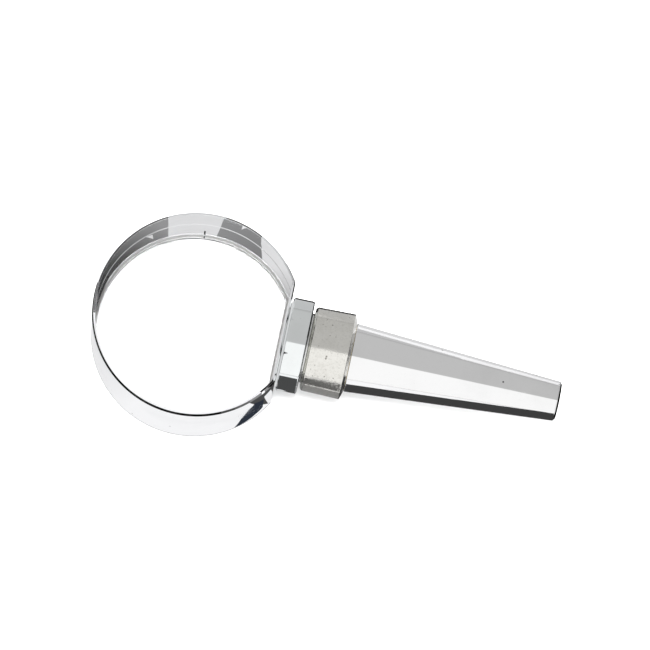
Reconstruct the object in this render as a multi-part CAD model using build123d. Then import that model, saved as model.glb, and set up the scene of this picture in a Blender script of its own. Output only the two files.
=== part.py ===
from build123d import *
import os

# Hand magnifier: a deep round lens band with one flat side, and a tapered round handle on that flat.
# Millimetres. Z is the optical axis and points up, the band stands on Z = 0, and the handle points to +X.
# The origin is the centre of the whole object's footprint on the resting plane.

# Lens band
BAND_R = 39.0
BAND_DEPTH = 38.0
BAND_FLAT = 33.7  # from the lens axis to the outer face of the flat
WALL_HOOD = 1.1  # above the bore's step
WALL_SEAT = 1.4  # below the bore's step
STEP_Z = 23.2
RIM_EDGE_R = 0.3
BORE_EDGE_R = 0.3
CORNER_R = 0.35  # upright edges where the flat meets the round

# Lens and the rings that hold it
LENS_R = 37.4
LENS_FLAT = 31.5  # clear of the spring ring, which crosses the flat side above the lens
LENS_Z = 1.5  # underside
LENS_EDGE = 2.4
LENS_FACE_R = 104.0  # radius of the convex upper face
LENS_BEVEL = 0.3
SEAT_WIDTH = 0.9
SEAT_Z = 0.5
RING_FIT = 0.05
SNAP_LIFT = 0.15  # above the lens's edge, because its face rises inwards
SNAP_TOP = 6.1
SNAP_DEPTH = 0.7
SNAP_PROUD = 0.5
SNAP_SPLIT = 0.7
SNAP_SPLIT_AZIMUTH = 96.0
GROOVE_PLAY = 0.05

# Handle joint, along the handle's axis
FLANGE_R = 17.7
FLANGE_FACE_R = 15.2
FLANGE_BEVEL = 0.95
FLANGE_END = 42.4
FLANGE_EDGE = 0.6
WASHER_R = 13.2
WASHER_END = 43.2
FERRULE_R = 16.0
FERRULE_FLARE_R = 16.3
FERRULE_BEVEL = 0.9
FERRULE_CONE = 58.4
FERRULE_END = 59.45
FERRULE_END_R = 13.4
FERRULE_FLOOR = 2.6
FERRULE_BORE_R = 12.5
STUD_R = 4.0
STUD_START = 35.0
STUD_END = 67.0
STUD_CHAMFER = 0.8
RUNNING_FIT = 0.05
CLEARANCE = 0.3

# Flange screws
SCREW_R = 1.5
SCREW_HEAD_R = 2.5
SCREW_OFFSET = 9.0
SCREW_TIP = 39.5
SCREW_HOLE_END = 40.0
SCREW_PLAY = 0.1

# Handle
HANDLE_GAP = 0.1
HANDLE_START_R = 13.1
HANDLE_END = 139.4
HANDLE_END_R = 7.6
HANDLE_WALL = 0.9
HANDLE_LIP_R = 0.25
CAP_THICK = 1.0
CAP_SPIGOT = 2.0
CAP_EDGE = 0.8
BUSH_LENGTH = 7.5
BUSH_SPIGOT = 3.0

# Construction only: how far a cutting shape runs past the face that it cuts
OVERRUN = 1.0

# Derived places
LENS_X = BAND_R - (BAND_R + HANDLE_END) / 2
AXIS_Z = BAND_DEPTH / 2
HANDLE_START = FERRULE_END + HANDLE_GAP
SHELL_END = HANDLE_END - CAP_THICK


def d_outline(radius, flat):
    """Disc of the given radius, cut off straight at the given distance on the handle's side."""
    disc = Circle(radius)
    keep = Pos(flat - radius, 0) * Rectangle(2 * radius, 2 * radius + 2)
    return disc & keep


def d_plate(radius, flat, low, high):
    """Solid with a flat-sided round outline between two heights, about the lens axis."""
    plate = extrude(d_outline(radius, flat), high - low)
    return Pos(LENS_X, 0, low) * plate


def inset_plate(inset, low, high):
    """Solid whose outline lies the given distance inside the band's outer face."""
    return d_plate(BAND_R - inset, BAND_FLAT - inset, low, high)


def turned(profile):
    """Turn a closed outline of (distance from the lens axis, radius) points about the handle's axis."""
    face = make_face(Plane.XZ * Polyline(*profile, close=True))
    solid = revolve(face, Axis.X, 360)
    return Pos(LENS_X, 0, AXIS_Z) * solid


def rod(radius, start, end):
    """Plain round bar on the handle's axis."""
    return turned([(start, 0), (start, radius), (end, radius), (end, 0)])


def shell_radius(distance):
    """Outer radius of the tapered handle at a distance from the lens axis."""
    share = (distance - HANDLE_START) / (SHELL_END - HANDLE_START)
    return HANDLE_START_R + share * (HANDLE_END_R - HANDLE_START_R)


def screw_places():
    return [Pos(0, 0, side * SCREW_OFFSET) for side in (-1, 1)]


def screw_seat(place):
    """Distance from the lens axis to the band's inner face at a flange screw."""
    wall = WALL_HOOD if place.position.Z > STEP_Z - AXIS_Z else WALL_SEAT
    return BAND_FLAT - wall


def countersunk(start, end, radius, grow):
    """Countersunk screw, or with grow the hole it sits in."""
    head = SCREW_HEAD_R + grow
    cone = SCREW_HEAD_R - SCREW_R
    return turned([(start, 0), (start, head), (start + cone, radius), (end, radius), (end, 0)])


def make_lens_band():
    body = inset_plate(0, 0, BAND_DEPTH)
    corners = body.edges().filter_by(Axis.Z)
    body = fillet(corners, CORNER_R)
    rims = body.faces().filter_by(Axis.Z).edges()
    body = fillet(rims, RIM_EDGE_R)
    bore = inset_plate(WALL_SEAT, -OVERRUN, BAND_DEPTH + OVERRUN)
    hood = inset_plate(WALL_HOOD, STEP_Z, BAND_DEPTH + OVERRUN)
    groove_inset = WALL_SEAT - (SNAP_DEPTH - SNAP_PROUD) - 2 * GROOVE_PLAY
    groove = inset_plate(groove_inset, LENS_Z + LENS_EDGE, SNAP_TOP + GROOVE_PLAY)
    body = body - bore - hood - groove
    mouths = body.edges().filter_by(is_bore_mouth)
    body = chamfer(mouths, BORE_EDGE_R)
    for place in screw_places():
        hole = countersunk(screw_seat(place), BAND_FLAT + OVERRUN, SCREW_R + SCREW_PLAY, SCREW_PLAY)
        body = body - place * hole
    return body


def is_bore_mouth(edge):
    """True for the inner edges of the band's two rims."""
    box = edge.bounding_box()
    at_rim = abs(box.min.Z - box.max.Z) < 1e-6 and min(abs(box.min.Z), abs(box.min.Z - BAND_DEPTH)) < 1e-6
    inset = WALL_SEAT if box.min.Z < AXIS_Z else WALL_HOOD
    middle = edge.position_at(0.5) - Vector(LENS_X, 0, 0)
    reach = max(middle.X / (BAND_FLAT - inset), Vector(middle.X, middle.Y).length / (BAND_R - inset))
    return at_rim and reach < 1.001


def make_lens():
    sag = LENS_FACE_R - (LENS_FACE_R**2 - LENS_R**2) ** 0.5
    blank = d_plate(LENS_R, LENS_FLAT, LENS_Z, LENS_Z + LENS_EDGE + sag + OVERRUN)
    face_centre = LENS_Z + LENS_EDGE + sag - LENS_FACE_R
    lens = blank & Pos(LENS_X, 0, face_centre) * Sphere(LENS_FACE_R)
    underside = lens.faces().sort_by(Axis.Z)[0]
    return chamfer(underside.edges(), LENS_BEVEL)


def make_lens_seat_ring():
    outer = inset_plate(WALL_SEAT + RING_FIT, SEAT_Z, LENS_Z)
    inner = inset_plate(WALL_SEAT + RING_FIT + SEAT_WIDTH, SEAT_Z - OVERRUN, LENS_Z + OVERRUN)
    return outer - inner


def make_lens_snap_ring():
    low = LENS_Z + LENS_EDGE + SNAP_LIFT
    outer_inset = WALL_SEAT - (SNAP_DEPTH - SNAP_PROUD)
    outer = inset_plate(outer_inset, low, SNAP_TOP)
    inner = inset_plate(outer_inset + SNAP_DEPTH, low - OVERRUN, SNAP_TOP + OVERRUN)
    split = Pos(BAND_R, 0, SNAP_TOP / 2) * Box(BAND_R, SNAP_SPLIT, 2 * SNAP_TOP)
    return outer - inner - Pos(LENS_X, 0, 0) * Rot(0, 0, SNAP_SPLIT_AZIMUTH) * split


def make_flange():
    body = turned([
        (BAND_FLAT, STUD_R + RUNNING_FIT),
        (BAND_FLAT, FLANGE_FACE_R),
        (BAND_FLAT + FLANGE_BEVEL, FLANGE_R),
        (FLANGE_END - FLANGE_EDGE, FLANGE_R),
        (FLANGE_END, FLANGE_R - FLANGE_EDGE),
        (FLANGE_END, STUD_R + RUNNING_FIT),
    ])
    for place in screw_places():
        body = body - place * rod(SCREW_R, BAND_FLAT - OVERRUN, SCREW_HOLE_END)
    return body


def make_flange_screws():
    screws = [place * countersunk(screw_seat(place), SCREW_TIP, SCREW_R, 0) for place in screw_places()]
    return Compound(children=screws)


def make_neck_washer():
    hole = rod(STUD_R + CLEARANCE, FLANGE_END - OVERRUN, WASHER_END + OVERRUN)
    return rod(WASHER_R, FLANGE_END, WASHER_END) - hole


def make_ferrule():
    return turned([
        (WASHER_END, STUD_R + CLEARANCE),
        (WASHER_END, FERRULE_R - FERRULE_BEVEL),
        (WASHER_END + FERRULE_BEVEL, FERRULE_R),
        (FERRULE_CONE, FERRULE_FLARE_R),
        (FERRULE_END, FERRULE_END_R),
        (FERRULE_END, FERRULE_BORE_R),
        (WASHER_END + FERRULE_FLOOR, FERRULE_BORE_R),
        (WASHER_END + FERRULE_FLOOR, STUD_R + CLEARANCE),
    ])


def make_handle_stud():
    return turned([
        (STUD_START, 0),
        (STUD_START, STUD_R - STUD_CHAMFER),
        (STUD_START + STUD_CHAMFER, STUD_R),
        (STUD_END, STUD_R),
        (STUD_END, 0),
    ])


def make_handle_bush():
    head_end = HANDLE_START + BUSH_LENGTH
    return turned([
        (HANDLE_START - BUSH_SPIGOT, STUD_R),
        (HANDLE_START - BUSH_SPIGOT, FERRULE_BORE_R - RUNNING_FIT),
        (HANDLE_START, FERRULE_BORE_R - RUNNING_FIT),
        (HANDLE_START, shell_radius(HANDLE_START) - HANDLE_WALL),
        (head_end, shell_radius(head_end) - HANDLE_WALL),
        (head_end, STUD_R),
    ])


def make_handle_shell():
    start_bore = HANDLE_START_R - HANDLE_WALL
    end_bore = HANDLE_END_R - HANDLE_WALL
    return turned([
        (HANDLE_START, start_bore),
        (HANDLE_START, HANDLE_START_R - HANDLE_LIP_R),
        (HANDLE_START + HANDLE_LIP_R, shell_radius(HANDLE_START + HANDLE_LIP_R)),
        (SHELL_END, HANDLE_END_R),
        (SHELL_END, end_bore),
    ])


def make_end_cap():
    spigot_r = HANDLE_END_R - HANDLE_WALL - RING_FIT
    return turned([
        (SHELL_END - CAP_SPIGOT, 0),
        (SHELL_END - CAP_SPIGOT, spigot_r),
        (SHELL_END, spigot_r),
        (SHELL_END, HANDLE_END_R),
        (HANDLE_END - CAP_EDGE, HANDLE_END_R),
        (HANDLE_END, HANDLE_END_R - CAP_EDGE),
        (HANDLE_END, 0),
    ])


PARTS = {
    "lens_band": make_lens_band,
    "lens": make_lens,
    "lens_seat_ring": make_lens_seat_ring,
    "lens_snap_ring": make_lens_snap_ring,
    "flange": make_flange,
    "flange_screws": make_flange_screws,
    "neck_washer": make_neck_washer,
    "ferrule": make_ferrule,
    "handle_stud": make_handle_stud,
    "handle_bush": make_handle_bush,
    "handle_shell": make_handle_shell,
    "end_cap": make_end_cap,
}

os.makedirs("parts", exist_ok=True)
for name, make in PARTS.items():
    export_step(make(), f"parts/{name}.step")
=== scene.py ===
import math

import bmesh
import bpy
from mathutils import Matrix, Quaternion, Vector


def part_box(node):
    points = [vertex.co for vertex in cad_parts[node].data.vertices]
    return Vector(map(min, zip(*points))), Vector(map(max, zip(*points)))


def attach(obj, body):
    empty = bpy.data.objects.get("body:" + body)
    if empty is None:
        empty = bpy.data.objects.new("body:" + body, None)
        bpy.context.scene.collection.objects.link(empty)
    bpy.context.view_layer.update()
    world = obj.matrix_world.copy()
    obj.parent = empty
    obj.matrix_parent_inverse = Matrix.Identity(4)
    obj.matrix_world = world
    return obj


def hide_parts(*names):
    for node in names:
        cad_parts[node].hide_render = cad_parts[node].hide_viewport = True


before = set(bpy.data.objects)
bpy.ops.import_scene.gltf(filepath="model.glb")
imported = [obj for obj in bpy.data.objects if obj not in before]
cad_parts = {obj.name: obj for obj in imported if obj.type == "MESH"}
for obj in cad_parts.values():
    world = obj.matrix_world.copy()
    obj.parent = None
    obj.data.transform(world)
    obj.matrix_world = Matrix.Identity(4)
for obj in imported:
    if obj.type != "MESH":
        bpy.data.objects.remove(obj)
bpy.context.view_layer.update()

MM = 0.001

# Places worked out from the frame. Lengths along the handle are counted from the lens axis.
band_low, band_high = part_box("lens_band")
BAND_R = (band_high.y - band_low.y) / 2
LENS_X = band_low.x + BAND_R
BAND_FLAT = band_high.x - LENS_X
BAND_DEPTH = band_high.z - band_low.z
AXIS_Z = BAND_DEPTH / 2
LENS_CENTRE = Vector((LENS_X, 0, 0))
AXIS_START = Vector((LENS_X, 0, AXIS_Z))


def span(node):
    """Where a turned node starts and ends along the handle, and its largest radius."""
    low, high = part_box(node)
    return low.x - LENS_X, high.x - LENS_X, (high.y - low.y) / 2


# ---------------------------------------------------------------- mesh building

def rounded(points, steps=6, support=0.06 * MM):
    """Outline from (u, v, corner radius) points. Each rounded corner is an arc with a support point on
    either side, so that the mirror-like faces beside it stay straight."""
    result = []
    count = len(points)
    for index, (u, v, radius) in enumerate(points):
        here = Vector((u, v))
        before = Vector(points[index - 1][:2])
        after = Vector(points[(index + 1) % count][:2])
        if radius <= 0:
            result.append(here)
            continue
        back = (before - here).normalized()
        ahead = (after - here).normalized()
        half = back.angle(ahead) / 2
        reach = radius / math.tan(half)
        centre = here + (back + ahead).normalized() * (radius / math.sin(half))
        start = here + back * reach
        end = here + ahead * reach
        result.append(start + back * support)
        spoke = start - centre
        turn = math.pi - 2 * half
        if back.cross(ahead) > 0:
            turn = -turn
        for step in range(steps + 1):
            angle = turn * step / steps
            cos, sin = math.cos(angle), math.sin(angle)
            result.append(centre + Vector((spoke.x * cos - spoke.y * sin, spoke.x * sin + spoke.y * cos)))
        result.append(end + ahead * support)
    return result


def closed_mesh(name, verts, faces):
    """Mesh with doubled points merged, the edges that this leaves without faces removed, and its
    normals pointing outwards."""
    mesh = bpy.data.meshes.new(name)
    mesh.from_pydata([tuple(vert) for vert in verts], [], faces)
    bm = bmesh.new()
    bm.from_mesh(mesh)
    bmesh.ops.remove_doubles(bm, verts=bm.verts, dist=1e-7)
    bmesh.ops.delete(bm, geom=[edge for edge in bm.edges if not edge.link_faces], context="EDGES")
    bmesh.ops.recalc_face_normals(bm, faces=bm.faces)
    bm.to_mesh(mesh)
    bm.free()
    return mesh


def placed(name, mesh):
    obj = bpy.data.objects.new(name, mesh)
    bpy.context.scene.collection.objects.link(obj)
    return obj


def mesh_object(name, verts, faces, body, material, sharp=35):
    mesh = closed_mesh(name, verts, faces)
    mesh.shade_smooth()
    mesh.set_sharp_from_angle(angle=math.radians(sharp))
    mesh.materials.append(material)
    obj = placed(name, mesh)
    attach(obj, body)
    return obj


def grid_faces(rows, columns, close_rows, close_columns=True):
    """Quads of a grid whose vertices are listed row by row."""
    faces = []
    for row in range(rows if close_rows else rows - 1):
        below = row * columns
        above = (row + 1) % rows * columns
        for column in range(columns if close_columns else columns - 1):
            beside = (column + 1) % columns
            faces.append((below + column, below + beside, above + beside, above + column))
    return faces


def lathe(profile, segments=224):
    """Vertices and faces of a closed (distance, radius) profile turned about the handle's axis."""
    verts = []
    for distance, radius in profile:
        for segment in range(segments):
            angle = 2 * math.pi * segment / segments
            spoke = Vector((distance, radius * math.sin(angle), radius * math.cos(angle)))
            verts.append(AXIS_START + spoke)
    return verts, grid_faces(len(profile), segments, close_rows=True)


def turned(name, points, body, material, steps=6, sharp=35):
    verts, faces = lathe(rounded(points, steps))
    return mesh_object(name, verts, faces, body, material, sharp)


def d_outline(radius, flat, corner, arc_steps=300, corner_steps=5):
    """Round outline with one flat side, as points about the lens axis, starting on the flat."""
    centre_x = flat - corner
    centre_y = math.sqrt((radius - corner) ** 2 - centre_x**2)
    meet = math.atan2(centre_y, centre_x)
    support = 0.004
    points = [Vector((flat, centre_y * share)) for share in (-0.97, -0.6, -0.2, 0.2, 0.6, 0.97)]
    for step in range(corner_steps + 1):
        angle = meet * step / corner_steps
        points.append(Vector((centre_x + corner * math.cos(angle), centre_y + corner * math.sin(angle))))
    shares = [support] + [step / arc_steps for step in range(1, arc_steps)] + [1 - support / 2]
    for share in shares:
        angle = meet + (2 * math.pi - 2 * meet) * share
        points.append(Vector((radius * math.cos(angle), radius * math.sin(angle))))
    for step in range(corner_steps + 1):
        angle = meet * (1 - step / corner_steps)
        points.append(Vector((centre_x + corner * math.cos(angle), -centre_y - corner * math.sin(angle))))
    return points


def d_sweep(section, corner):
    """Vertices and faces of a closed (inset, height) section carried round the band's outline."""
    verts = []
    for inset, height in section:
        bend = max(corner - inset, TIGHTEST_BEND)
        outline = d_outline(BAND_R - inset, BAND_FLAT - inset, bend)
        verts += [LENS_CENTRE + Vector((p.x, p.y, height)) for p in outline]
    return verts, grid_faces(len(section), len(verts) // len(section), close_rows=True)


def ring(name, node, width, soft, material):
    """Flat ring inside the band, following its outline, as wide as given and as high as its node."""
    low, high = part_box(node)
    outer = BAND_FLAT - (high.x - LENS_X)
    inner = outer + width
    section = rounded([
        (outer, low.z, soft), (outer, high.z, soft), (inner, high.z, soft), (inner, low.z, soft),
    ], 4)
    verts, faces = d_sweep(section, CORNER)
    return mesh_object(name, verts, faces, "lens_head", material)


# ---------------------------------------------------------------- materials

def new_material(name):
    material = bpy.data.materials.new(name)
    material.use_nodes = True
    tree = material.node_tree
    tree.nodes.clear()
    output = tree.nodes.new("ShaderNodeOutputMaterial")
    shader = tree.nodes.new("ShaderNodeBsdfPrincipled")
    tree.links.new(shader.outputs["BSDF"], output.inputs["Surface"])
    return material, tree, shader


class Nodes:
    """Short names for the texture nodes that the metals share. All of them read object coordinates."""

    def __init__(self, tree):
        self.tree = tree
        self.place = tree.nodes.new("ShaderNodeTexCoord").outputs["Object"]

    def link(self, value, socket):
        if isinstance(value, (int, float, tuple)):
            socket.default_value = value
        else:
            self.tree.links.new(value, socket)

    def math(self, operation, a, b=0.0, clamp=False):
        node = self.tree.nodes.new("ShaderNodeMath")
        node.operation = operation
        node.use_clamp = clamp
        for value, socket in zip((a, b), node.inputs):
            self.link(value, socket)
        return node.outputs[0]

    def stretch(self, scale, turn=(0, 0, 0), shift=(0, 0, 0)):
        node = self.tree.nodes.new("ShaderNodeMapping")
        node.inputs["Location"].default_value = shift
        node.inputs["Rotation"].default_value = [math.radians(a) for a in turn]
        node.inputs["Scale"].default_value = scale
        self.link(self.place, node.inputs["Vector"])
        return node.outputs["Vector"]

    def noise(self, scale, detail=4, vector=None, rough=0.55):
        node = self.tree.nodes.new("ShaderNodeTexNoise")
        node.inputs["Scale"].default_value = scale
        node.inputs["Detail"].default_value = detail
        node.inputs["Roughness"].default_value = rough
        self.link(vector or self.place, node.inputs["Vector"])
        return node.outputs["Fac"]

    def ramp(self, value, low, high, to_low=0.0, to_high=1.0, smooth=True):
        node = self.tree.nodes.new("ShaderNodeMapRange")
        node.interpolation_type = "SMOOTHSTEP" if smooth else "LINEAR"
        for given, name in ((value, "Value"), (low, "From Min"), (high, "From Max")):
            self.link(given, node.inputs[name])
        node.inputs["To Min"].default_value = to_low
        node.inputs["To Max"].default_value = to_high
        return node.outputs["Result"]

    def pits(self, scale, size, share):
        """1 inside scattered round pits, 0 elsewhere. Only a share of the cells has one."""
        node = self.tree.nodes.new("ShaderNodeTexVoronoi")
        node.inputs["Scale"].default_value = scale
        self.link(self.place, node.inputs["Vector"])
        near = self.ramp(node.outputs["Distance"], size * 0.45, size, 1.0, 0.0)
        split = self.tree.nodes.new("ShaderNodeSeparateColor")
        self.link(node.outputs["Color"], split.inputs[0])
        chosen = self.math("LESS_THAN", split.outputs[0], share)
        return self.math("MULTIPLY", near, chosen)

    def scratches(self, scale, turn, thin, vector_scale=(1, 14, 14), shift=(0, 0, 0)):
        """Fine lines: the crests of a stretched noise, kept where a broad noise lets them show."""
        lines = self.noise(scale, 2, self.stretch(vector_scale, turn, shift), 0.5)
        offset = self.math("ABSOLUTE", self.math("SUBTRACT", lines, 0.5))
        crest = self.ramp(offset, 0.0, thin, 1.0, 0.0)
        broad = self.noise(scale * 0.35, 2, self.stretch((1, 1, 1), (0, 0, 0), shift))
        return self.math("MULTIPLY", crest, self.ramp(broad, 0.52, 0.66))

    def mix(self, share, a, b):
        node = self.tree.nodes.new("ShaderNodeMix")
        node.data_type = "RGBA"
        self.link(share, node.inputs[0])
        self.link(a, node.inputs[6])
        self.link(b, node.inputs[7])
        return node.outputs[2]

    def bump(self, height, distance, normal=None):
        node = self.tree.nodes.new("ShaderNodeBump")
        node.inputs["Distance"].default_value = distance
        self.link(height, node.inputs["Height"])
        if normal is not None:
            self.link(normal, node.inputs["Normal"])
        return node.outputs["Normal"]


def rgba(colour):
    return (*colour, 1.0)


def polished(name, bright, dull, roughness, pit_share, wave):
    """Mirror plating: a slight waviness, hairline scratches, sparse dark pits and faint hazy patches."""
    material, tree, shader = new_material(name)
    n = Nodes(tree)
    haze = n.ramp(n.noise(55, 4), 0.42, 0.75)
    fine = n.math("MAXIMUM", n.scratches(90, (0, 0, 8), 0.006), n.scratches(70, (0, 20, -35), 0.005))
    pits = n.pits(330, 0.16, pit_share)
    mottle = n.ramp(n.noise(900, 3), 0.3, 0.8)
    colour = n.mix(n.math("MULTIPLY", haze, 0.45), rgba(bright), rgba(dull))
    colour = n.mix(n.math("MULTIPLY", mottle, 0.06), colour, rgba(dull))
    colour = n.mix(n.math("MULTIPLY", fine, 0.18), colour, rgba((0.5, 0.5, 0.5)))
    colour = n.mix(n.math("MULTIPLY", pits, 0.9), colour, rgba((0.035, 0.032, 0.03)))
    n.link(colour, shader.inputs["Base Color"])
    rough = n.math("ADD", roughness, n.math("MULTIPLY", haze, 0.025))
    rough = n.math("ADD", rough, n.math("MULTIPLY", fine, 0.10))
    rough = n.math("ADD", rough, n.math("MULTIPLY", pits, 0.35))
    n.link(rough, shader.inputs["Roughness"])
    shader.inputs["Metallic"].default_value = 1.0
    height = n.math("SUBTRACT", 1.0, n.math("ADD", pits, n.math("MULTIPLY", fine, 0.12)))
    waves = n.bump(n.noise(35, 1), wave)
    n.link(n.bump(height, 0.00003, normal=waves), shader.inputs["Normal"])
    return material


def aged_nickel(name):
    """Dull warm plating with a patchy haze, speckles, pits and lengthwise rubbing marks."""
    material, tree, shader = new_material(name)
    n = Nodes(tree)
    haze = n.ramp(n.noise(120, 6, None, 0.65), 0.35, 0.7)
    speckle = n.ramp(n.noise(1300, 4, None, 0.7), 0.48, 0.70)
    pits = n.math("MAXIMUM", n.pits(380, 0.17, 0.22), n.pits(900, 0.26, 0.16))
    rub = n.scratches(110, (0, 0, 4), 0.012, (1, 9, 9))
    colour = n.mix(n.math("MULTIPLY", haze, 0.6), rgba((0.77, 0.76, 0.72)), rgba((0.64, 0.63, 0.59)))
    colour = n.mix(n.math("MULTIPLY", speckle, 0.30), colour, rgba((0.42, 0.41, 0.37)))
    colour = n.mix(n.math("MULTIPLY", pits, 0.7), colour, rgba((0.12, 0.11, 0.09)))
    n.link(colour, shader.inputs["Base Color"])
    rough = n.math("ADD", 0.07, n.math("MULTIPLY", haze, 0.10))
    rough = n.math("ADD", rough, n.math("MULTIPLY", speckle, 0.12))
    rough = n.math("ADD", rough, n.math("MULTIPLY", rub, 0.12))
    n.link(rough, shader.inputs["Roughness"])
    shader.inputs["Metallic"].default_value = 1.0
    height = n.math("SUBTRACT", n.math("MULTIPLY", haze, 0.3), pits)
    height = n.math("SUBTRACT", height, n.math("MULTIPLY", speckle, 0.15))
    n.link(n.bump(height, 0.00006), shader.inputs["Normal"])
    return material


def machined(name, bright, dull, roughness):
    """Turned metal: fine tool marks round the handle's axis and a little grime."""
    material, tree, shader = new_material(name)
    n = Nodes(tree)
    grime = n.ramp(n.noise(260, 5), 0.45, 0.75)
    marks = n.noise(2600, 1, n.stretch((1, 0.02, 0.02)))
    colour = n.mix(n.math("MULTIPLY", grime, 0.5), rgba(bright), rgba(dull))
    n.link(colour, shader.inputs["Base Color"])
    rough = n.math("ADD", roughness, n.math("MULTIPLY", marks, 0.12))
    n.link(rough, shader.inputs["Roughness"])
    shader.inputs["Metallic"].default_value = 1.0
    n.link(n.bump(marks, 0.00004), shader.inputs["Normal"])
    return material


def lens_glass(name):
    """Clear glass with faint wiping marks and a few specks of dust."""
    material, tree, shader = new_material(name)
    n = Nodes(tree)
    wipes = n.scratches(60, (0, 0, 25), 0.01, (1, 10, 1))
    dust = n.pits(420, 0.09, 0.10)
    shader.inputs["Base Color"].default_value = rgba((0.995, 1.0, 0.998))
    shader.inputs["Transmission Weight"].default_value = 1.0
    shader.inputs["IOR"].default_value = 1.52
    rough = n.math("ADD", n.math("MULTIPLY", wipes, 0.03), n.math("MULTIPLY", dust, 0.12))
    n.link(rough, shader.inputs["Roughness"])
    n.link(n.bump(n.math("ADD", n.math("MULTIPLY", wipes, 0.3), dust), 0.000005), shader.inputs["Normal"])
    clear = tree.nodes.new("ShaderNodeBsdfTransparent")
    path = tree.nodes.new("ShaderNodeLightPath")
    mixed = tree.nodes.new("ShaderNodeMixShader")
    tree.links.new(path.outputs["Is Shadow Ray"], mixed.inputs[0])
    tree.links.new(shader.outputs["BSDF"], mixed.inputs[1])
    tree.links.new(clear.outputs["BSDF"], mixed.inputs[2])
    output = next(node for node in tree.nodes if node.type == "OUTPUT_MATERIAL")
    tree.links.new(mixed.outputs[0], output.inputs["Surface"])
    return material


# ---------------------------------------------------------------- pieces

CORNER = 0.35 * MM  # upright edges where the band's flat meets its round
TIGHTEST_BEND = 0.12 * MM
BEVEL_WIDE = 0.5 * MM  # outer edge of the band's upper rim
BEVEL_DEEP = 1.87 * MM
BORE_EDGE = 0.1 * MM
WALL_HOOD = 1.25 * MM  # above the bore's step
WALL_SEAT = 1.4 * MM  # below the bore's step
STEP_Z = 23.2 * MM
GROOVE = 0.3 * MM  # depth of the spring ring's groove
SPLIT_AZIMUTH = 96  # of the spring ring, in degrees
SCREW_HEAD_R = 2.5 * MM


def countersink(place_z, seat, head_r, hole_r, depth):
    """Cutter for a countersunk hole from the band's inner face through the flat."""
    start = seat - 0.05 * MM
    end = BAND_FLAT + MM
    verts, faces = lathe([(start, 0), (start, head_r), (seat + depth, hole_r), (end, hole_r), (end, 0)], 64)
    return placed("cutter", closed_mesh("cutter", [v + Vector((0, 0, place_z)) for v in verts], faces))


def block(corners):
    """Cutter with straight sides: four corners of one end, then four of the other in the same order."""
    sides = [(0, 1, 2, 3), (7, 6, 5, 4), (0, 4, 5, 1), (1, 5, 6, 2), (2, 6, 7, 3), (3, 7, 4, 0)]
    return placed("cutter", closed_mesh("cutter", corners, sides))


def cut(obj, cutters):
    """Takes the cutters out of obj, and removes them."""
    for cutter in cutters:
        modifier = obj.modifiers.new("cut", "BOOLEAN")
        modifier.operation = "DIFFERENCE"
        modifier.solver = "EXACT"
        modifier.object = cutter
    graph = bpy.context.evaluated_depsgraph_get()
    mesh = bpy.data.meshes.new_from_object(obj.evaluated_get(graph))
    obj.modifiers.clear()
    obj.data = mesh
    obj.data.set_sharp_from_angle(angle=math.radians(35))
    for cutter in cutters:
        bpy.data.objects.remove(cutter)


def screw_sites():
    """Height above the handle's axis and inner face of the band, for each flange screw."""
    low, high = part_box("flange_screws")
    reach = (high.z - low.z) / 2 - SCREW_HEAD_R
    return [(-reach, BAND_FLAT - WALL_SEAT), (reach, BAND_FLAT - WALL_HOOD)]


def make_lens_band(material):
    snap_low, snap_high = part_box("lens_snap_ring")
    groove_low, groove_high = snap_low.z - 0.15 * MM, snap_high.z + 0.05 * MM
    section = rounded([
        (0, 0, 0.3 * MM),
        (0, BAND_DEPTH - BEVEL_DEEP, 0.2 * MM),
        (BEVEL_WIDE, BAND_DEPTH, 0.08 * MM),
        (WALL_HOOD, BAND_DEPTH, BORE_EDGE),
        (WALL_HOOD, STEP_Z, 0),
        (WALL_SEAT, STEP_Z, 0.04 * MM),
        (WALL_SEAT, groove_high, 0),
        (WALL_SEAT - GROOVE, groove_high, 0),
        (WALL_SEAT - GROOVE, groove_low, 0),
        (WALL_SEAT, groove_low, 0),
        (WALL_SEAT, 0, 0.3 * MM),
    ], 6)
    verts, faces = d_sweep(section, CORNER)
    band = mesh_object("band", verts, faces, "lens_head", material)
    holes = [countersink(z, seat, 2.6 * MM, 1.6 * MM, 1.0 * MM) for z, seat in screw_sites()]
    cut(band, holes)
    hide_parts("lens_band")


def make_lens(material):
    low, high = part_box("lens")
    radius = (high.y - low.y) / 2
    flat = high.x - LENS_X
    face_r = 104 * MM
    edge = 2.4 * MM
    bevel = 0.3 * MM
    sag = face_r - math.sqrt(face_r**2 - radius**2)
    face_centre = low.z + edge + sag - face_r
    corner = 0.3 * MM
    centre_share = 0.004

    def dome(p):
        return face_centre + math.sqrt(face_r**2 - p.x**2 - p.y**2)

    outline = d_outline(radius, flat, corner, 240, 3)
    inner = d_outline(radius - bevel, flat - bevel, corner, 240, 3)
    columns = len(outline)
    shares = [1 - step / 36 for step in range(36)] + [centre_share]
    verts = [Vector((p.x * s, p.y * s, low.z)) for s in reversed(shares) for p in inner]
    verts += [Vector((p.x, p.y, low.z + bevel)) for p in outline]
    verts += [Vector((p.x, p.y, dome(p) - bevel)) for p in outline]
    verts += [Vector((p.x * s, p.y * s, dome(p * s))) for s in shares for p in inner]
    rows = 2 * len(shares) + 2
    faces = grid_faces(rows, columns, close_rows=False)
    faces.append(tuple(range(columns)))
    faces.append(tuple(range((rows - 1) * columns, rows * columns)))
    lens = mesh_object("magnifying_lens", [LENS_CENTRE + v for v in verts], faces,
                       "lens_head", material, 25)
    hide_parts("lens")


def make_seat_ring(material):
    seat_ring = ring("seat_ring", "lens_seat_ring", 0.9 * MM, 0.12 * MM, material)
    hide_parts("lens_seat_ring")


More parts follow.
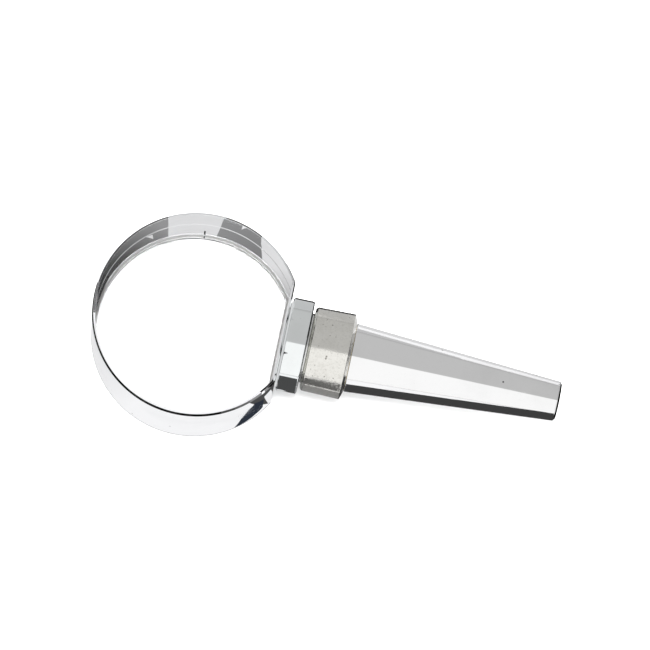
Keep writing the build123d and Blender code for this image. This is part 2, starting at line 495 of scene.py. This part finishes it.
def make_snap_ring(material):
    snap_ring = ring("snap_ring", "lens_snap_ring", 0.7 * MM, 0.16 * MM, material)
    split = math.radians(SPLIT_AZIMUTH)
    half = 0.35 * MM
    along = Vector((math.cos(split), math.sin(split), 0))
    across = Vector((-along.y, along.x, 0))
    near, far = BAND_R * 0.8, BAND_R * 1.05
    corners = [LENS_CENTRE + along * reach + across * side + Vector((0, 0, height))
               for height in (0, 10 * MM)
               for reach, side in ((near, -half), (far, -half), (far, half), (near, half))]
    cut(snap_ring, [block(corners)])
    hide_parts("lens_snap_ring")


def make_flange(material):
    start, end, radius = span("flange")
    bore, face_r, bevel = 4.05 * MM, 15.2 * MM, 0.95 * MM
    flange = turned("flange_collar", [
        (start, bore, 0),
        (start, face_r, 0.15 * MM),
        (start + bevel, radius, 0.25 * MM),
        (end, radius, 0.65 * MM),
        (end, bore, 0.3 * MM),
    ], "lens_head", material)
    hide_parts("flange")


def make_flange_screws(material):
    head_r, head_deep = SCREW_HEAD_R - 0.03 * MM, 1.02 * MM
    shank_r, tip = 1.45 * MM, span("flange_screws")[1]
    half, deep, reach = 0.35 * MM, 0.7 * MM, 4 * MM
    slot = ((-reach, -half), (reach, -half), (reach, half), (-reach, half))
    for index, (offset, seat) in enumerate(screw_sites()):
        face = seat + 0.03 * MM
        verts, faces = lathe(rounded([
            (face, 0, 0),
            (face, head_r, 0.08 * MM),
            (face + head_deep, shank_r, 0),
            (tip, shank_r, 0.2 * MM),
            (tip, 0, 0),
        ], 4), 72)
        shift = Vector((0, 0, offset))
        screw = mesh_object(f"flange_screw_{index + 1}", [v + shift for v in verts], faces,
                            "lens_head", material)
        corners = [AXIS_START + shift + Vector((x, y, z))
                   for x in (face - MM, face + deep)
                   for y, z in slot]
        cut(screw, [block(corners)])
        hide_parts("flange_screws")


def make_neck_washer(material):
    start, end, radius = span("neck_washer")
    bore = 4.3 * MM
    washer = turned("washer", [
        (start, bore, 0.1 * MM), (start, radius, 0.2 * MM), (end, radius, 0.2 * MM), (end, bore, 0.1 * MM),
    ], "ferrule", material)
    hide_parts("neck_washer")


def make_ferrule(material):
    start, end, flare_r = span("ferrule")
    body_r, bevel = 16.0 * MM, 0.9 * MM
    cone = 58.4 * MM
    end_r = 13.4 * MM
    bore = 12.5 * MM
    hole = 4.3 * MM
    floor = 2.6 * MM
    ferrule = turned("ferrule_collar", [
        (start, hole, 0.2 * MM),
        (start, body_r - bevel, 0.25 * MM),
        (start + bevel, body_r, 0.3 * MM),
        (cone, flare_r, 0.3 * MM),
        (end, end_r, 0.15 * MM),
        (end, bore, 0.1 * MM),
        (start + floor, bore, 0.5 * MM),
        (start + floor, hole, 0.2 * MM),
    ], "ferrule", material)
    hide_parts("ferrule")


def make_stud(material):
    """Threaded rod: the radius follows the thread's flanks along a helix, and tapers off at the tip."""
    start, end, radius = span("handle_stud")
    pitch = 1.25 * MM
    deep = 0.65 * MM
    taper = 0.8 * MM
    tip_share = 0.2
    flank_slope = 2.6
    around = 64
    along = int((end - start) / (0.1 * MM))
    verts = []
    for row in range(along + 1):
        x = start + (end - start) * row / along
        fade = min(1.0, (x - start) / taper * (1 - tip_share) + tip_share)
        for column in range(around):
            angle = 2 * math.pi * column / around
            phase = (x / pitch + angle / (2 * math.pi)) % 1.0
            flank = min(abs(phase - 0.5) * flank_slope, 1.0)
            r = radius - taper * (1 - fade) - deep * (1 - flank)
            verts.append(AXIS_START + Vector((x, r * math.sin(angle), r * math.cos(angle))))
    faces = grid_faces(along + 1, around, close_rows=False)
    faces.append(tuple(range(around)))
    faces.append(tuple(range(along * around, (along + 1) * around)))
    stud = mesh_object("threaded_stud", verts, faces, "handle", material, 50)
    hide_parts("handle_stud")


def make_bush(material):
    start, end, head_r = span("handle_bush")
    shoulder, spigot_r, stud_r = start + 3.0 * MM, 12.45 * MM, 4.0 * MM
    bush = turned("threaded_bush", [
        (start, stud_r, 0.3 * MM),
        (start, spigot_r, 0.3 * MM),
        (shoulder, spigot_r, 0),
        (shoulder, head_r - 0.25 * MM, 0),
        (end, head_r - 0.85 * MM, 0.3 * MM),
        (end, stud_r, 0.3 * MM),
    ], "handle", material)
    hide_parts("handle_bush")


def make_handle(material):
    start, end, start_r = span("handle_shell")
    end_r = 7.6 * MM
    wall = 0.9 * MM
    handle = turned("handle_taper", [
        (start, start_r - wall, 0),
        (start, start_r, 0.3 * MM),
        (end, end_r, 0.06 * MM),
        (end, end_r - wall, 0),
    ], "handle", material)
    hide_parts("handle_shell")


def make_cap(material):
    start, end, radius = span("end_cap")
    seam = end - 1.0 * MM
    spigot_r = radius - 0.95 * MM
    chamfer, chamfer_deep = 0.75 * MM, 1.07 * MM
    cap = turned("handle_cap", [
        (start, 0, 0),
        (start, spigot_r, 0.1 * MM),
        (seam, spigot_r, 0),
        (seam, radius, 0.05 * MM),
        (end - chamfer, radius, 0.1 * MM),
        (end, radius - chamfer_deep, 0.1 * MM),
        (end, 0, 0),
    ], "handle", material)
    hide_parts("end_cap")


# ---------------------------------------------------------------- stage, light and camera

HIDDEN_FROM = (
    "visible_camera", "visible_diffuse", "visible_transmission", "visible_volume_scatter", "visible_shadow",
)
LEAN = 0.238  # how far the sight line from a level mirror leans to the rear for each millimetre up


def glow(name, near, far, low_x, high_x):
    """Emission whose level runs from near to far between two places along X, in millimetres from
    the lens axis."""
    material = bpy.data.materials.new(name)
    material.use_nodes = True
    tree = material.node_tree
    tree.nodes.clear()
    n = Nodes(tree)
    split = tree.nodes.new("ShaderNodeSeparateXYZ")
    n.link(n.place, split.inputs[0])
    share = n.ramp(split.outputs["X"], LENS_X + low_x * MM, LENS_X + high_x * MM, smooth=False)
    emitter = tree.nodes.new("ShaderNodeEmission")
    n.link(n.mix(share, rgba(near), rgba(far)), emitter.inputs["Color"])
    output = tree.nodes.new("ShaderNodeOutputMaterial")
    tree.links.new(emitter.outputs[0], output.inputs["Surface"])
    return material


def grey(level):
    return (level, level, level * 1.01)


def flag(name, verts, faces, near, far=None, low_x=0.0, high_x=1.0):
    """Studio flag: a thin card that only reflections see. Its places are millimetres from the lens axis."""
    mesh = bpy.data.meshes.new(name)
    mesh.from_pydata([(LENS_X + x * MM, y * MM, z * MM) for x, y, z in verts], [], faces)
    mesh.materials.append(glow(name, near, far or near, low_x, high_x))
    obj = placed(name, mesh)
    for switch in HIDDEN_FROM:
        setattr(obj, switch, False)
    return obj


def card(name, outline, height, level):
    """Flat flag with straight sides, lying level."""
    colour = grey(level) if isinstance(level, float) else level
    return flag(name, [(x, y, height) for x, y in outline], [tuple(range(len(outline)))], colour)


def sector(name, left, right, height, near, far=None, low_x=0.0, high_x=1.0, slope=0.0, shift=0.0):
    """Flag that fills the turn between two lines of (radius, azimuth) points round the lens axis."""
    columns = 30
    verts = []
    for (left_r, left_az), (right_r, right_az) in zip(left, right):
        for column in range(columns + 1):
            share = column / columns
            radius = left_r + (right_r - left_r) * share
            angle = math.radians(left_az + (right_az - left_az) * share)
            verts.append((radius * math.cos(angle), radius * math.sin(angle) + shift,
                          height + slope * (37.5 - radius)))
    faces = grid_faces(len(left), columns + 1, close_rows=False, close_columns=False)
    return flag(name, verts, faces, near, far, low_x, high_x)


def arc_flag(name, start, end, inner, outer, height, near, far=None, low_x=0.0, high_x=1.0, shift=0.0):
    """Flag shaped as a part of a flat ring round the lens axis, azimuths in degrees."""
    left = [(inner, start), (outer, start)]
    right = [(inner, end), (outer, end)]
    return sector(name, left, right, height, near, far, low_x, high_x, shift=shift)


def make_bore_flags():
    """Just above the lens, so that the rear of the bore mirrors dark and light lengths in turn. Each
    line is where one length ends and the next begins."""
    lines = [
        [(27, 180), (30.5, 180), (34, 180), (37.4, 180)],
        [(27, 158), (30.5, 158), (34, 158), (37.0, 158)],
        [(29.6, 112.0), (33.2, 114.6), (35.2, 116.0), (37.0, 116.9)],
        [(28.5, 88.2), (33.2, 88.2), (35.2, 88.6), (37.0, 89.1)],
        [(29.2, 73.0), (33.0, 66.7), (35.2, 62.5), (37.0, 59.6)],
        [(27, 22), (30.5, 22), (34, 22), (37.0, 22)],
    ]
    height, slope = 6.5, 0.1
    sector("flag_bore_1", lines[0], lines[1], height, grey(0.02), grey(0.07), -36.5, -31, slope)
    sector("flag_bore_2", lines[1], lines[2], height, grey(0.07), grey(0.33), -31, -15, slope)
    sector("flag_bore_3", lines[2], lines[3], height, grey(0.80), slope=slope)
    sector("flag_bore_4", lines[3], lines[4], height, grey(0.30), grey(0.23), 2, 18, slope)
    sector("flag_bore_5", lines[4], lines[5], height, grey(0.80), grey(0.5), 22, 32, slope)
    # Over those: a dark card mirrored as a tick where the spring ring is split, a painted reflection
    # standing in for the split, and two pale cards mirrored as small glints, painted reflections
    arc_flag("flag_painted_split_tick", 95.5, 96.4, 35.9, 37.4, 7.3, grey(0.02))
    card("flag_glint_a", [(-21.2, 27.2), (-19.6, 28.6), (-21.0, 29.6)], 7.6, 0.75)
    card("flag_glint_b", [(5.4, 29.6), (6.9, 29.4), (6.4, 31.4)], 7.6, 0.95)


def make_rim_flags():
    """Over the band, for its narrow level rim: pale in front, and as the bore's mirrored lengths behind."""
    rise, inner, outer = 50, 35.2, 41.5
    shift = (rise - BAND_DEPTH / MM) * LEAN
    arc_flag("flag_rim_front", -168, -40, inner, outer, rise, grey(1.15), shift=shift)
    arc_flag("flag_rim_corner", -40, -29, inner, outer, rise, grey(0.01), shift=shift)
    arc_flag("flag_rim_5", 62.5, 29, inner, outer, rise, grey(0.75), grey(0.5), 22, 32, shift=shift)
    arc_flag("flag_rim_4", 85.5, 62.5, inner, outer, rise, grey(0.20), shift=shift)
    arc_flag("flag_rim_3", 118.3, 85.5, inner, outer, rise, grey(0.72), shift=shift)
    arc_flag("flag_rim_2", 150, 118.3, inner, outer, rise, grey(0.10), grey(0.22), -33, -18, shift=shift)
    arc_flag("flag_rim_1", 174, 150, inner, outer, rise, grey(0.08), shift=shift)
    arc_flag("flag_rim_0", 192, 174, inner, outer, rise, grey(0.2), shift=shift)
    flat = [(31.2, -18), (34.6, -20), (34.6, 20), (31.2, 18)]
    card("flag_rim_flat", [(x, y + shift) for x, y in flat], rise, 0.8)


def make_floor_flags():
    """Low over the floor: what the outer faces mirror below the horizon. Where two cards cross, the
    higher one is seen."""
    low = 0.6
    # Round the front of the band: pale close to its foot, dark further out for the bevel of its rim
    arc_flag("flag_foot", -175, -31, 39.3, 48.5, 0.4, grey(0.84), grey(1.01), -39, -20)
    arc_flag("flag_surround", 165, 342, 56, 77, 0.3, grey(0.004))
    leaf = [(35.97, -22.22), (34.38, -26.66), (31.13, -29.41), (27.07, -31.20), (22.50, -32.10),
            (25.02, -30.24), (27.51, -28.25), (30.13, -25.91), (32.81, -22.96)]
    card("flag_leaf", leaf, 0.7, (0.03, 0.037, 0.052))
    arc_flag("flag_corner", -31, -25, 39.3, 43, low, grey(0.92))
    # In front of and under the flange, the ferrule and the handle
    card("flag_flange", [(33.9, -14), (33.9, -197), (43.0, -197), (43.0, -14)], 0.55, 0.075)
    card("flag_ferrule_near", [(43.0, -14), (43.0, -46), (59.5, -46), (59.5, -14)], low, 0.30)
    card("flag_ferrule_far", [(43.0, -46), (43.0, -750), (59.5, -750), (59.5, -46)], low, 0.15)
    card("flag_ferrule_line", [(44.5, -33), (58.8, -33), (58.8, -31), (44.5, -31)], 12.1, 1.3)
    under_handle = [(59.7, -11), (65.4, -65), (87, -73.4), (110.5, -96), (140.4, -162), (171, -304),
                    (216, -570), (340, -1360), (340, -9), (135, -9)]
    card("flag_handle", under_handle, low, 0.055)
    # Behind them
    card("flag_rear_edge", [(33.9, 18), (59.5, 18), (59.5, 40), (33.9, 40)], low, 0.04)
    card("flag_rear", [(33.9, 40), (59.5, 40), (59.5, 2500), (33.9, 2500)], low, 0.6)
    behind_handle = [(59.6, 114), (70, 114), (96, 155), (127, 253), (248, 1270), (248, 2500), (59.6, 2500)]
    card("flag_rear_handle", behind_handle, low, 0.6)
    card("flag_rear_outline", [(59.6, 13), (145, 8), (150, 62), (59.6, 58)], low, 0.78)
    # Beyond the handle's end
    card("flag_end", [(141.5, -9), (400, -60), (400, 300), (160, 60), (141.5, 30)], 0.64, 0.01)


def make_gap_flags():
    """Standing flat rings about the handle's axis: one in the gap between the band's flat and the
    flange, and a part of one past the flange's far edge, at the rear."""
    columns = 48
    rings = (
        ("flag_groove", 33.81, 15.55, 16.85, 2 * math.pi, 0.75),
        ("flag_neck", 42.75, 16.6, 18.9, 1.7, 0.02),
    )
    for name, x, inner, outer, reach, level in rings:
        verts = []
        for radius in (inner, outer):
            for column in range(columns):
                angle = reach * column / (columns - 1)
                verts.append((x, radius * math.sin(angle), AXIS_Z / MM + radius * math.cos(angle)))
        flag(name, verts, grid_faces(2, columns, close_rows=False, close_columns=False), grey(level))


def make_floor():
    """Pale floor, dimmer where metal mirrors it, so that chrome stands out against it."""
    mesh = bpy.data.meshes.new("floor")
    count, reach = 96, 4.0
    angles = [2 * math.pi * index / count for index in range(count)]
    edge = [(reach * math.cos(angle), reach * math.sin(angle), 0) for angle in angles]
    mesh.from_pydata(edge, [], [tuple(range(count))])
    material, tree, shader = new_material("floor")
    n = Nodes(tree)
    tone = n.mix(n.ramp(n.noise(8, 3), 0.3, 0.7), rgba((0.93, 0.93, 0.93)), rgba((0.90, 0.90, 0.905)))
    path = tree.nodes.new("ShaderNodeLightPath")
    dimmed = n.mix(path.outputs["Is Glossy Ray"], tone, rgba((0.36, 0.36, 0.365)))
    n.link(dimmed, shader.inputs["Base Color"])
    shader.inputs["Roughness"].default_value = 0.8
    mesh.materials.append(material)
    floor = placed("floor", mesh)


def make_lamp():
    """Soft lamp overhead, so that the floor inside the band is as bright as the floor round it."""
    data = bpy.data.lights.new("overhead", "AREA")
    data.shape = "DISK"
    data.size = 0.5
    data.energy = 34
    lamp = placed("overhead", data)
    lamp.location = LENS_CENTRE + Vector((0, 0, 1.5))
    lamp.visible_glossy = False
    lamp.visible_camera = False


def make_world():
    """Even white light for the scene. What polished metal mirrors is a studio: a white wall in front, from
    just past the zenith down, grey behind, and dark far out on the handle's side."""
    even_light = rgba((1.7, 1.7, 1.7))
    front_wall = rgba((1.12, 1.12, 1.12))
    rear_high = rgba((0.60, 0.60, 0.60))
    rear_low = rgba((0.48, 0.48, 0.48))
    dark_side = rgba((0.03, 0.03, 0.033))
    under_floor = rgba((1.1, 1.1, 1.1))
    world = bpy.data.worlds.new("studio")
    bpy.context.scene.world = world
    world.use_nodes = True
    tree = world.node_tree
    tree.nodes.clear()
    n = Nodes(tree)
    direction = tree.nodes.new("ShaderNodeTexCoord").outputs["Generated"]
    split = tree.nodes.new("ShaderNodeSeparateXYZ")
    n.link(direction, split.inputs[0])
    x, y, z = split.outputs
    lean = n.math("ARCTAN2", y, n.math("MAXIMUM", z, 0.0001))
    front = n.ramp(lean, math.radians(-5.5), math.radians(-8.5))
    side = n.ramp(x, 0.70, 0.75)
    low_rear = n.ramp(lean, math.radians(80), math.radians(90))
    mirrored = n.mix(front, n.mix(low_rear, rear_high, rear_low), front_wall)
    mirrored = n.mix(side, mirrored, dark_side)
    mirrored = n.mix(n.ramp(z, 0.0, -0.01), mirrored, under_floor)
    path = tree.nodes.new("ShaderNodeLightPath")
    direct = n.math("SUBTRACT", 1.0, path.outputs["Diffuse Depth"], clamp=True)
    seen = n.math("MULTIPLY", path.outputs["Is Glossy Ray"], direct)
    colour = n.mix(seen, even_light, mirrored)
    background = tree.nodes.new("ShaderNodeBackground")
    n.link(colour, background.inputs["Color"])
    output = tree.nodes.new("ShaderNodeOutputWorld")
    tree.links.new(background.outputs[0], output.inputs["Surface"])


def make_camera():
    """The camera looks almost straight down from in front, turned so that the handle falls to the right."""
    azimuth, elevation, roll = math.radians(-1.4), math.radians(76.65), math.radians(13.35)
    target = LENS_CENTRE + Vector((47.7, 10.2, 19)) * MM
    distance = 2.089
    back = Vector((math.sin(azimuth) * math.cos(elevation), -math.cos(azimuth) * math.cos(elevation),
                   math.sin(elevation)))
    data = bpy.data.cameras.new("camera")
    data.lens = 307.8
    data.sensor_width = 36
    data.clip_start, data.clip_end = 0.05, 50
    camera = placed("camera", data)
    camera.location = target + back * distance
    camera.rotation_mode = "QUATERNION"
    camera.rotation_quaternion = (-back).to_track_quat("-Z", "Y") @ Quaternion((0, 0, 1), roll)
    bpy.context.scene.camera = camera


band_chrome = polished("band_chrome", (0.86, 0.865, 0.87), (0.74, 0.745, 0.75), 0.012, 0.03, 0.00001)
flange_chrome = polished("flange_chrome", (0.84, 0.865, 0.862), (0.74, 0.76, 0.757), 0.015, 0.05, 0.00002)
handle_chrome = polished("handle_chrome", (0.85, 0.85, 0.85), (0.74, 0.74, 0.74), 0.02, 0.16, 0.00014)
ring_steel = machined("ring_steel", (0.72, 0.72, 0.71), (0.5, 0.49, 0.47), 0.16)
# Much paler than the other steels: painted light, lifting the seat ring out of the shade it sits in under
# the lens's edge.
seat_steel_painted_pale = machined("seat_steel_painted_pale", (0.92, 0.92, 0.91), (0.8, 0.79, 0.77), 0.4)
snap_steel = machined("snap_steel", (0.68, 0.68, 0.67), (0.5, 0.49, 0.48), 0.3)
screw_steel = machined("screw_steel", (0.6, 0.6, 0.61), (0.33, 0.32, 0.31), 0.22)
bush_brass = machined("bush_brass", (0.78, 0.6, 0.3), (0.5, 0.37, 0.18), 0.25)

make_lens_band(band_chrome)
make_lens(lens_glass("lens_glass"))
make_seat_ring(seat_steel_painted_pale)
make_snap_ring(snap_steel)
make_flange(flange_chrome)
make_flange_screws(screw_steel)
make_neck_washer(ring_steel)
make_ferrule(aged_nickel("ferrule_nickel"))
make_stud(screw_steel)
make_bush(bush_brass)
make_handle(handle_chrome)
make_cap(handle_chrome)
make_floor()
make_bore_flags()
make_rim_flags()
make_floor_flags()
make_gap_flags()
make_lamp()
make_world()
make_camera()
bpy.context.scene.view_settings.view_transform = "Standard"
